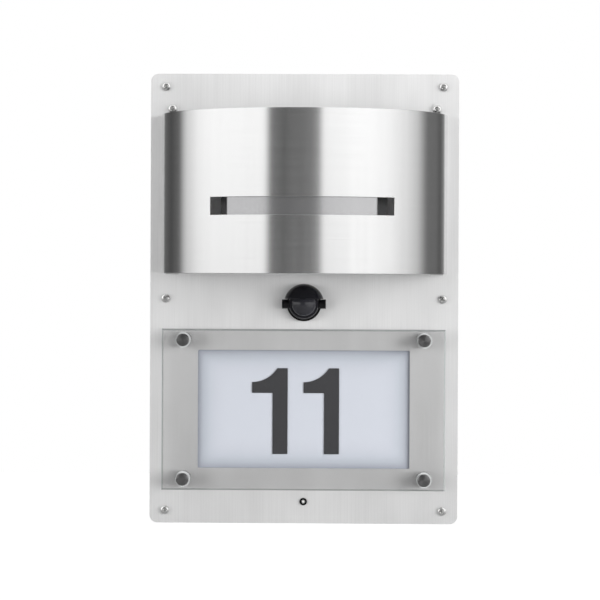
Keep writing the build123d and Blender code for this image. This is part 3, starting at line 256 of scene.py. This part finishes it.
# These greys are the margin's painted shade, darkest at the window's edge.
shade = put(tree, "ShaderNodeValToRGB", {"Fac": painted_shade_share.outputs[0]},
            stops=((0.0, "#9A9EA8"), (1.0, "#CED2DB"), (0.2, "#B4B9C2"), (0.42, "#C3C8D1"),
                   (0.65, "#CACED7")))
tree.links.new(shade.outputs[0], shader.inputs["Base Color"])
dress(opal_sheet, "number_diffuser")

# The digits are cut from dark grey matt film and stuck to the opal sheet.
digit_film, tree, shader = finish("matt_grey_film", "#3E3E40", 0.6, Specular_IOR_Level=0.2)
texture(tree, shader, mottle(tree, (0.6, 0.6, 0.6)), 0.004, ("#3C3C3E", "#404042"), (0.55, 0.65))
dress(digit_film, "digit_left", "digit_right")

# ---- Face plate ---------------------------------------------------------------------------------
# 1.5 mm stainless sheet, belt-ground up and down, with deburred edges. The belt's scratches are
# 0.05 mm wide and hundreds long. They are drawn 0.5 mm wide, so that they show in a picture.
plate_level = 30.0


def ground(tree, shader, along, scratches, clouds):
    """Set a ground sheet's tangent along an axis, and return the mean of its two patterns."""
    tangent = put(tree, "ShaderNodeCombineXYZ", {along: 1.0})
    tree.links.new(tangent.outputs[0], shader.inputs["Tangent"])
    both = put(tree, "ShaderNodeMath", {0: scratches, 1: clouds}, operation="ADD")
    return put(tree, "ShaderNodeMath", {0: both.outputs[0], 1: 0.5},
               operation="MULTIPLY").outputs[0]


plate_steel, tree, shader = finish("stainless_ground_upright", "#E8E8E8", 0.4,
                                   Metallic=0.65, Anisotropic=0.96)
grain = ground(tree, shader, "X", mottle(tree, (0.5, 0.5, 70.0), 3.0),
               mottle(tree, (22.0, 22.0, 60.0), 1.0, 7.0))
texture(tree, shader, grain, 0.004, ("#E0E0E0", "#EFEFEF"), (0.37, 0.43))
eased("face_plate", "face_plate_sheet", plate_steel, 0.25)

# Pan-head screws of stainless hold plate and hood, polished so that they mirror the room. Each has
# a cross recess whose four wings narrow with depth, and no two stand at the same turn.
polished_steel, tree, shader = finish("polished_stainless", "#E4E4E3", 0.22, Metallic=1.0)
texture(tree, shader, mottle(tree, (0.8, 0.8, 0.8)), 0.006, ("#DDDDDC", "#EAEAE9"), (0.18, 0.28))
dress(polished_steel, "plate_nuts", "lamp_screws", "carrier_screws", "standoff_nuts", "earth_stud",
      "earth_nuts", "board_screws", "driver_screws", "terminal_screws")

outward = Matrix(((1, 0, 0), (0, 0, -1), (0, 1, 0))).to_4x4()


def verts_of(things):
    """The vertices among the things that an operator gave back."""
    return [thing for thing in things if isinstance(thing, bmesh.types.BMVert)]


def edges_of(things):
    """The edges among the things that an operator gave back."""
    return [thing for thing in things if isinstance(thing, bmesh.types.BMEdge)]


def turned(form, profile, steps):
    """Spin a line of radii and heights round the Z axis, closed where it meets the axis."""
    line = [form.verts.new((radius, 0, height)) for radius, height in profile]
    edges = [form.edges.new(pair) for pair in zip(line, line[1:])]
    bmesh.ops.spin(form, geom=line + edges, cent=(0, 0, 0), axis=(0, 0, 1), angle=2 * pi,
                   steps=steps, use_merge=True)
    bmesh.ops.remove_doubles(form, verts=form.verts, dist=0.001)


def stood(into, form, x, seat, z, turn=0.0):
    """Stand a form on a level, its Z axis outwards, and add it to another form."""
    bmesh.ops.recalc_face_normals(form, faces=form.faces)
    place = Matrix.Translation((x, -seat, z)) @ outward @ Matrix.Rotation(radians(turn), 4, "Z")
    bmesh.ops.transform(form, matrix=place, verts=form.verts)
    passing = bpy.data.meshes.new("passing")
    form.to_mesh(passing)
    form.free()
    into.from_mesh(passing)
    bpy.data.meshes.remove(passing)


def pan_head(shank_radius, shank_length):
    """One cross-recessed pan head on its shank, seated at height 0. The floor of its recess rises
    to a peak in the middle, which catches the light where a flat floor would look black."""
    form = bmesh.new()
    radius, height = 3.5, 2.2
    wing, reach, depth, narrowing, peak = 0.36, 1.8, 0.4, 0.7, 0.5
    turned(form, ((0.0, -shank_length), (shank_radius, -shank_length), (shank_radius, 0.0),
                  (radius - 0.15, 0.0), (radius, 0.15), (radius, 0.7), (radius - 0.2, 1.25),
                  (radius - 0.65, 1.75), (radius - 1.1, 2.05), (2.05, height)), 24)
    mouth = [edge for edge in form.edges if edge.is_boundary]
    corners = [(reach, -wing), (reach, wing), (wing, wing), (wing, reach), (-wing, reach),
               (-wing, wing), (-reach, wing), (-reach, -wing), (-wing, -wing), (-wing, -reach),
               (wing, -reach), (wing, -wing)]
    cross = [form.verts.new((a, b, height)) for a, b in corners]
    ring = [form.edges.new((cross[n - 1], cross[n])) for n in range(len(cross))]
    bmesh.ops.subdivide_edges(form, edges=ring, cuts=1)
    outline = [edge for edge in form.edges if edge.is_wire]
    bmesh.ops.bridge_loops(form, edges=mouth + outline)
    sunk = bmesh.ops.extrude_edge_only(form, edges=outline)["geom"]
    bmesh.ops.scale(form, vec=(narrowing, narrowing, 1), verts=verts_of(sunk))
    bmesh.ops.translate(form, vec=(0, 0, -depth), verts=verts_of(sunk))
    bed = bmesh.ops.contextual_create(form, geom=[e for e in edges_of(sunk) if e.is_boundary])
    bmesh.ops.poke(form, faces=bed["faces"], offset=-peak)
    bmesh.ops.remove_doubles(form, verts=form.verts, dist=0.001)
    return form


def pan_screws(name, node, places, seat, shank_radius, shank_length, turns):
    """Like screws in one piece, each at its own turn."""
    together = bmesh.new()
    for (x, z), turn in zip(places, turns):
        stood(together, pan_head(shank_radius, shank_length), x, seat, z, turn)
    return piece(name, together, polished_steel, [node], crease=38)


pan_screws("face_screw_set", "face_screws",
           [(x, z) for z in (165.0, 0.0, -165.0) for x in (-108.0, 108.0)], plate_level, 2.0, 14.0,
           (22, 38, 8, 60, 74, 33))

# ---- Lamp behind the hood -----------------------------------------------------------------------
# An aluminium carrier with a board of chips, under a deep D-shaped cover. The cover is frosted
# acrylic with a thin silvered face, so it mirrors the room softly where the slot shows it.

# Milled aluminium has fine upright tool marks.
milled_aluminium, tree, shader = finish("milled_aluminium", "#D6D7D8", 0.32, Metallic=1.0)
texture(tree, shader, mottle(tree, (0.6, 0.6, 20.0)), 0.01, ("#CDCECF", "#DFE0E1"))
dress(milled_aluminium, "lamp_carrier")

silvered_opal, tree, shader = finish("silvered_frosted_acrylic", "#A6A6A7", 0.16, Metallic=0.8,
                                     IOR=1.49)
texture(tree, shader, mottle(tree, (1.2, 1.2, 1.2)), 0.004, ("#A2A2A3", "#AAAAAB"))
dress(silvered_opal, "lamp_diffuser")

# ---- Hood ---------------------------------------------------------------------------------------
# 1 mm stainless sheet rolled to a half circle, with a cut slot, a flange folded in along each side,
# two screw ears above and two hooks below. It is belt-ground level, round the curve, so it mirrors
# the room in upright bands that stay sharp sideways. Grain 0.05 mm wide is drawn 0.4 mm wide.
hood_radius, hood_sheet, hood_low, hood_high = 111.0, 1.0, 19.51, 142.5
fold_radius, flange_reach = 1.5, 14.0
slot_half, slot_low, slot_high = 69.0, 63.1, 76.5
ear_x, ear_radius, ear_rise, ear_hole, rim_width = 103.0, 4.6, 5.1, 1.6, 0.2
hood_steel, tree, shader = finish("stainless_ground_level", "#E2E2E2", 0.2, Metallic=1.0,
                                  Anisotropic=0.95)
grain = ground(tree, shader, "Z", mottle(tree, (60.0, 60.0, 0.4), 3.0),
               mottle(tree, (9.0, 9.0, 500.0), 1.0, 3.0))
texture(tree, shader, grain, 0.003, ("#DCDCDC", "#E8E8E8"), (0.18, 0.24))


def onward(form, edges, shift=None, centre=None, angle=0.0, steps=1):
    """Carry a line of edges on, straight or round an upright axis, and return the last line."""
    if shift:
        grown = bmesh.ops.extrude_edge_only(form, edges=edges)["geom"]
        bmesh.ops.translate(form, vec=shift, verts=verts_of(grown))
        return [edge for edge in edges_of(grown) if edge.is_boundary and edge not in edges
                and abs(edge.verts[0].co.x - edge.verts[1].co.x) < 0.001]
    return edges_of(bmesh.ops.spin(form, geom=edges, cent=centre, axis=(0, 0, 1), angle=angle,
                                   steps=steps, use_duplicate=False)["geom_last"])


form = bmesh.new()
rise = [form.verts.new((flange_reach - hood_radius, -plate_level, z))
        for z in (hood_low, slot_low, slot_high, hood_high)]
line = [form.edges.new(pair) for pair in zip(rise, rise[1:])]
fold_level = plate_level + fold_radius
fold_x = sqrt(hood_radius ** 2 - fold_radius ** 2) - fold_radius
flange_marks = (hood_radius - flange_reach, ear_x - ear_radius, ear_x + ear_radius, fold_x)
for near, far in zip(flange_marks, flange_marks[1:]):
    line = onward(form, line, shift=(near - far, 0, 0))
line = onward(form, line, centre=(-fold_x, -fold_level, 0), angle=pi / 2, steps=6)
side_turn = pi / 2 - asin(fold_radius / hood_radius) - asin(slot_half / hood_radius)
for turn, steps in ((side_turn, 36), (2 * asin(slot_half / hood_radius), 54), (side_turn, 36)):
    line = onward(form, line, centre=(0, -plate_level, 0), angle=turn, steps=steps)
line = onward(form, line, centre=(fold_x, -fold_level, 0), angle=pi / 2, steps=6)
for far, near in zip(flange_marks[::-1], flange_marks[-2::-1]):
    line = onward(form, line, shift=(near - far, 0, 0))
slot_faces = [face for face in form.faces if slot_low < face.calc_center_median().z < slot_high
              and abs(face.calc_center_median().x) < slot_half
              and face.calc_center_median().y < -plate_level - hood_radius / 2]
bmesh.ops.delete(form, geom=slot_faces, context="FACES")

# An ear is an outline above the flange, bridged to the ring of its screw hole. It lies flat on the
# plate and is ground with it, so it has the plate's finish.
ear_z = hood_high + ear_rise
for side in (-1, 1):
    corners = [vert for vert in form.verts if abs(vert.co.z - hood_high) < 0.001
               and abs(abs(vert.co.x - side * ear_x) - ear_radius) < 0.001
               and abs(vert.co.y + plate_level) < 0.001]
    outline = [form.edges.get(corners)]
    risen = bmesh.ops.extrude_vert_indiv(form, verts=corners)
    bmesh.ops.translate(form, vec=(0, 0, ear_rise), verts=risen["verts"])
    first = min(risen["verts"], key=lambda vert: vert.co.x)
    bmesh.ops.spin(form, geom=[first], cent=(side * ear_x, -plate_level, ear_z),
                   axis=(0, 1, 0), angle=pi, steps=16, use_duplicate=False)
    facing = Matrix.Translation((side * ear_x, -plate_level, ear_z)) @ outward
    bmesh.ops.create_circle(form, segments=16, radius=ear_hole, matrix=facing)
    bmesh.ops.remove_doubles(form, verts=form.verts, dist=0.01)
    bmesh.ops.bridge_loops(form, edges=outline + [edge for edge in form.edges if edge.is_wire])
bmesh.ops.recalc_face_normals(form, faces=form.faces)
bmesh.ops.solidify(form, geom=form.faces, thickness=hood_sheet)
round_off(form, 60, rim_width)

# A hook is a strip from the flange's back through the plate, bent down behind it.
hook_top, hook_back, hook_lip, hook_half = 20.81, 28.2, 5.5, 5.0
for side in (-1, 1):
    section = [(-plate_level - hood_sheet, hook_top), (-hook_back, hook_top),
               (-hook_back, hook_top - hook_lip), (hood_sheet - hook_back, hook_top - hook_lip),
               (hood_sheet - hook_back, hook_top + hood_sheet),
               (-plate_level - hood_sheet, hook_top + hood_sheet)]
    strip = [form.verts.new((side * ear_x - hook_half, y, z)) for y, z in section]
    end = bmesh.ops.contextual_create(form, geom=strip)["faces"]
    grown = bmesh.ops.extrude_face_region(form, geom=end, use_keep_orig=True)["geom"]
    bmesh.ops.translate(form, vec=(2 * hook_half, 0, 0), verts=verts_of(grown))
bmesh.ops.recalc_face_normals(form, faces=form.faces)
hood = piece("hood_shade", form, hood_steel, ["hood"], crease=20)

# The faces above the hood's rounded upper edge are the ears'.
hood.data.materials.append(plate_steel)
for face in hood.data.polygons:
    face.material_index = int(face.center.z > (hood_high + 1.5 * rim_width) * MM)

pan_screws("hood_screw_set", "hood_screws", [(-ear_x, ear_z), (ear_x, ear_z)],
           plate_level + hood_sheet, 1.5, 5.5, (50, 12))

# ---- Number panel and stand-offs ----------------------------------------------------------------
# 5 mm clear acrylic with a polished bevel, held off the plate by four tubes. Soft clear washers sit
# between, and dark turned caps with threaded shanks pass through. The sheet is faintly grey. It is
# kept out of shadows and plain light, which real clear plastic lets through.
clear_sheet, tree, shader = finish("clear_cast_acrylic", "#F0F0F0", 0.0, IOR=1.49,
                                   Transmission_Weight=1.0)
texture(tree, shader, mottle(tree, (40.0, 40.0, 40.0), 0.0), 0.01)
panel = eased("number_panel", "number_panel_sheet", clear_sheet, 0.3)
panel.visible_shadow = panel.visible_diffuse = False

# Seen from the front, the panel's rounded edges bend the view away and show two thin dark lines,
# which are painted on those faces as an opaque dark grey in place of the bent view.
dark_edge, tree, shader = finish("painted_dark_acrylic_edge", "#4C4E4E", 0.1, IOR=1.49)
texture(tree, shader, mottle(tree, (3.0, 3.0, 3.0)), 0.01, ("#464848", "#525454"))
panel.data.materials.append(dark_edge)

# The panel's walls and bevel are machined and flame-polished, and gather light to a milky grey.
cut_edge, tree, shader = finish("flame_polished_edge", "#A8ABAB", 0.42, IOR=1.49,
                                Transmission_Weight=0.35)
texture(tree, shader, mottle(tree, (5.0, 5.0, 5.0), 1.0), 0.003, ("#A5A9A9", "#ABAEAE"),
        (0.4, 0.46))
panel.data.materials.append(cut_edge)

# A rounded edge is a face that leans and covers less than edge_strip square millimetres.
edge_strip, wall_slant, front_slant = 60, 0.1, 0.99
for face in panel.data.polygons:
    slant = abs(face.normal.y)
    if slant < front_slant:
        rounded = slant > wall_slant and face.area < edge_strip * MM * MM
        face.material_index = 1 if rounded else 2

# Moulded silicone looks like frosted glass, and turned tubes carry rings across their length.
clear_washer, tree, shader = finish("clear_silicone", "#C2C4C4", 0.3, IOR=1.41)
texture(tree, shader, mottle(tree, (0.8, 0.8, 0.8)), 0.01, ("#BCBEBE", "#C8CACA"))
dress(clear_washer, "standoff_washers")

barrel_steel, tree, shader = finish("turned_stainless", "#A2A2A1", 0.34, Metallic=1.0)
texture(tree, shader, mottle(tree, (20.0, 0.4, 20.0)), 0.008, ("#989897", "#ACACAB"))
dress(barrel_steel, "standoff_barrels")

# A cap's face is turned in fine rings about its own middle, so it mirrors the room as a bow tie.
# The tool's rings are 0.1 mm apart and are drawn 0.35 mm apart.
cap_steel, tree, shader = finish("turned_caps", "#868686", 0.3, Metallic=1.0, Anisotropic=0.9)
own_place = put(tree, "ShaderNodeAttribute", attribute_name="turning").outputs["Vector"]
own = put(tree, "ShaderNodeSeparateXYZ", {0: own_place})
radial = put(tree, "ShaderNodeCombineXYZ", {"X": own.outputs["X"], "Z": own.outputs["Y"]})
tree.links.new(radial.outputs[0], shader.inputs["Tangent"])
rings = put(tree, "ShaderNodeTexWave", {"Vector": own_place, "Scale": 0.9, "Distortion": 0.4,
                                        "Detail": 1.0}, wave_type="RINGS", rings_direction="Z")
texture(tree, shader, rings.outputs["Fac"], 0.004, ("#808080", "#8C8C8C"), (0.27, 0.33))

standoff_x, standoff_z = 93.5, 54.0
cap_seat, nut_seat, shank_radius, cap_radius, cap_height = 44.0, 22.5, 2.0, 4.9, 4.0
tip = nut_seat - cap_seat
together = bmesh.new()
for x in (-standoff_x, standoff_x):
    for z in (number_centre_z + standoff_z, number_centre_z - standoff_z):
        form = bmesh.new()
        turned(form, ((0.0, tip), (shank_radius - 0.3, tip), (shank_radius, tip + 0.3),
                      (shank_radius, 0.0),
                      (cap_radius - 0.1, 0.0), (cap_radius, 0.1), (cap_radius, cap_height - 0.6),
                      (cap_radius - 0.1, cap_height - 0.42), (cap_radius - 0.52, cap_height - 0.05),
                      (cap_radius - 0.7, cap_height), (1.6, cap_height), (0.0, cap_height)), 40)
        own = form.verts.layers.float_vector.new("turning")
        for vert in form.verts:
            vert[own] = vert.co
        stood(together, form, x, cap_seat, z)
piece("standoff_cap_set", together, cap_steel, ["standoff_caps"], crease=25)

# ---- Motion sensor ------------------------------------------------------------------------------
# A ball head of black moulded ABS in a black collar, with a half-dome visor over a smoked lens.
# Its mould's satin finish leaves collar and ball almost without glints.
sensor_black, tree, shader = finish("satin_black_abs", "#070709", 0.34, Specular_IOR_Level=0.3)
texture(tree, shader, mottle(tree, (0.5, 0.5, 0.5)), 0.006, ("#060608", "#09090B"), (0.3, 0.38))
dress(sensor_black, "sensor_collar", "sensor_ball", "sensor_nut", "dusk_bezel")

# The eyelid is glossy black. Below its shelf the same moulding is a bezel ring round the lens, and
# the ring looks a little greyer.
shelf_z = 0.0
visor_black, tree, shader = finish("black_eyelid_abs", "#0F0F14", 0.2, Specular_IOR_Level=0.5)
height = put(tree, "ShaderNodeSeparateXYZ", {0: put(tree, "ShaderNodeTexCoord").outputs["Object"]})
ring_share = put(tree, "ShaderNodeMapRange", {"Value": height.outputs["Z"],
                                              "From Min": (shelf_z - 0.5) * MM,
                                              "From Max": (shelf_z + 0.5) * MM})
shade = put(tree, "ShaderNodeValToRGB", {"Fac": ring_share.outputs[0]},
            stops=((0.0, "#1E1E22"), (1.0, "#0F0F14")))
texture(tree, shader, mottle(tree, (0.5, 0.5, 0.5)), 0.004, (), (0.17, 0.24))
tree.links.new(shade.outputs[0], shader.inputs["Base Color"])
eased("sensor_visor", "sensor_eyelid", visor_black, 0.35, body="sensor_head")

# The lens is moulded smoked polyethylene, smooth enough to mirror the room in soft glints.
smoked_lens, tree, shader = finish("smoked_lens", "#29292D", 0.14)
texture(tree, shader, mottle(tree, (1.1, 1.1, 1.1)), 0.003, ("#26262A", "#2C2C31"), (0.12, 0.17))
dress(smoked_lens, "sensor_lens")

# A drawn nickel can is bright. The light cell's clear epoxy dome is painted near white, a painted
# highlight for the glint it shows.
detector_can, tree, shader = finish("nickel_can", "#CFC9BC", 0.25, Metallic=1.0)
texture(tree, shader, mottle(tree, (0.5, 0.5, 0.5)), 0.004, ("#C7C1B4", "#D7D1C6"))
dress(detector_can, "pyro_detector")

dusk_clear, tree, shader = finish("clear_light_cell", "#F4F4F2", 0.15, IOR=1.49)
texture(tree, shader, mottle(tree, (0.5, 0.5, 0.5)), 0.004, ("#ECECEA", "#FAFAF8"))
dress(dusk_clear, "dusk_cell")

# ---- Floor, light and camera --------------------------------------------------------------------
# A pale paper floor keeps a soft shadow. Two square soft lamps light the sign from both sides, and
# a round tent that only mirrors and clear plastic see gives the rolled steel its bands.
floor_half, floor_height, paper_glow = 4.0, -0.42, 0.8

# The paper glows for the camera alone, as bright as the background, so no seam shows.
floor_paint, tree, shader = finish("white_paper", "#A8A8A8", 0.9)
shader.inputs["Emission Color"].default_value = (1, 1, 1, 1)
rays = put(tree, "ShaderNodeLightPath")
lift = put(tree, "ShaderNodeMath", {0: rays.outputs["Is Camera Ray"], 1: paper_glow},
           operation="MULTIPLY")
tree.links.new(lift.outputs[0], shader.inputs["Emission Strength"])
form = bmesh.new()
bmesh.ops.create_grid(form, x_segments=2, y_segments=2, size=floor_half)
floor = linked("floor", form, floor_paint)
floor.location = (0, 0, floor_height)

# The room is white to the camera and to mirrors, and gives half as much plain light.
world = bpy.data.worlds.new("studio")
bpy.context.scene.world = world
world.use_nodes = True
tree = world.node_tree
rays = put(tree, "ShaderNodeLightPath")
direct = put(tree, "ShaderNodeMath", {0: rays.outputs["Is Camera Ray"],
                                      1: rays.outputs["Is Glossy Ray"]}, operation="MAXIMUM")
seen = put(tree, "ShaderNodeMath", {0: direct.outputs[0], 1: rays.outputs["Is Transmission Ray"]},
           operation="MAXIMUM")
strength = put(tree, "ShaderNodeMapRange", {"Value": seen.outputs[0], "To Min": 0.48,
                                            "To Max": 1.0})
tree.links.new(strength.outputs[0], tree.nodes["Background"].inputs["Strength"])
tree.nodes["Background"].inputs["Color"].default_value = (1, 1, 1, 1)

# The tent's cloth is bright at both sides of a dark gap for the camera, and dark behind the wall's
# plane. Each grey stands at its azimuth, with 0 towards the camera. The cloth dims downwards.
tent_radius, tent_foot, tent_height = 3.0, -2.0, 5.0
dark_height, full_height, tent_glow = -0.5, -0.02, 1.12
tent_greys = ((-180, 0.34), (-158, 0.30), (-148, 0.12), (-132, 0.06), (-117, 0.13), (-107, 0.75),
              (-90, 1.14), (-75, 1.24), (-30, 1.25), (-25.5, 0.17), (-13, 0.08), (-8, 0.13),
              (6, 0.16), (11.5, 0.32), (16, 1.2), (40, 1.28), (64, 1.22), (88, 0.96), (101, 0.70),
              (114, 0.17), (131, 0.14), (141, 0.08), (152, 0.30), (180, 0.34))
tent_cloth, tree, shader = finish("tent_cloth", "#000000", 1.0)
place = put(tree, "ShaderNodeTexCoord").outputs["Object"]
plan = put(tree, "ShaderNodeSeparateXYZ", {0: place})
behind = put(tree, "ShaderNodeMath", {0: plan.outputs["Y"], 1: -1.0}, operation="MULTIPLY")
around = put(tree, "ShaderNodeMath", {0: plan.outputs["X"], 1: behind.outputs[0]},
             operation="ARCTAN2")
share = put(tree, "ShaderNodeMapRange", {"Value": around.outputs[0], "From Min": -pi,
                                         "From Max": pi})
greys = put(tree, "ShaderNodeValToRGB", {"Fac": share.outputs[0]})
ramp = greys.color_ramp.elements
brightest = max(grey for _, grey in tent_greys)
for number, (azimuth, grey) in enumerate(tent_greys):
    stop = ramp[number] if number < 1 else ramp.new(0.5 + azimuth / 360)
    stop.position = 0.5 + azimuth / 360
    stop.color = [grey / brightest] * 3 + [1.0]

# A ramp is made with two stops, and the second isn't needed.
ramp.remove(ramp[-1])
upward = put(tree, "ShaderNodeMapRange", {"Value": plan.outputs["Z"], "From Min": dark_height,
                                          "From Max": full_height, "To Min": 0.0,
                                          "To Max": tent_glow * brightest})
tree.links.new(greys.outputs[0], shader.inputs["Emission Color"])
tree.links.new(upward.outputs[0], shader.inputs["Emission Strength"])
form = bmesh.new()
foot = bmesh.ops.create_circle(form, radius=tent_radius, segments=96)["verts"]
bmesh.ops.translate(form, vec=(0, -plate_level * MM, tent_foot), verts=foot)
grown = bmesh.ops.extrude_edge_only(form, edges=form.edges[:])["geom"]
bmesh.ops.translate(form, vec=(0, 0, tent_height), verts=verts_of(grown))
tent = linked("tent", form, tent_cloth)
tent.visible_camera = tent.visible_diffuse = tent.visible_shadow = False


def softbox(name, place, power, width=1.6):
    """A square soft lamp that faces the sign. Mirrors see the tent in its stead."""
    data = bpy.data.lights.new(name, "AREA")
    data.shape = "SQUARE"
    data.size = width
    data.energy = power
    made = bpy.data.objects.new(name, data)
    bpy.context.scene.collection.objects.link(made)
    made.location = place
    made.visible_glossy = made.visible_transmission = False
    made.rotation_euler = (-Vector(place)).to_track_quat("-Z", "Y").to_euler()


softbox("left_lamp", (-1.9, -1.3, 0.0), 34)
softbox("right_lamp", (1.9, -1.3, 0.0), 94)

# The camera stands a little to the right and rolls by a quarter of a degree.
eye, sight, roll = Vector((0.043, -2.190, 0.015)), Vector((-0.0032, -0.030, -0.0009)), 0.25
view = bpy.data.cameras.new("camera")
view.lens = 166.4
view.sensor_width = 36.0
camera = bpy.data.objects.new("camera", view)
bpy.context.scene.collection.objects.link(camera)
camera.location = eye
camera.rotation_euler = ((sight - eye).to_track_quat("-Z", "Y").to_matrix()
                         @ Matrix.Rotation(radians(roll), 3, "Z")).to_euler()
bpy.context.scene.camera = camera
bpy.context.scene.view_settings.view_transform = "Standard"
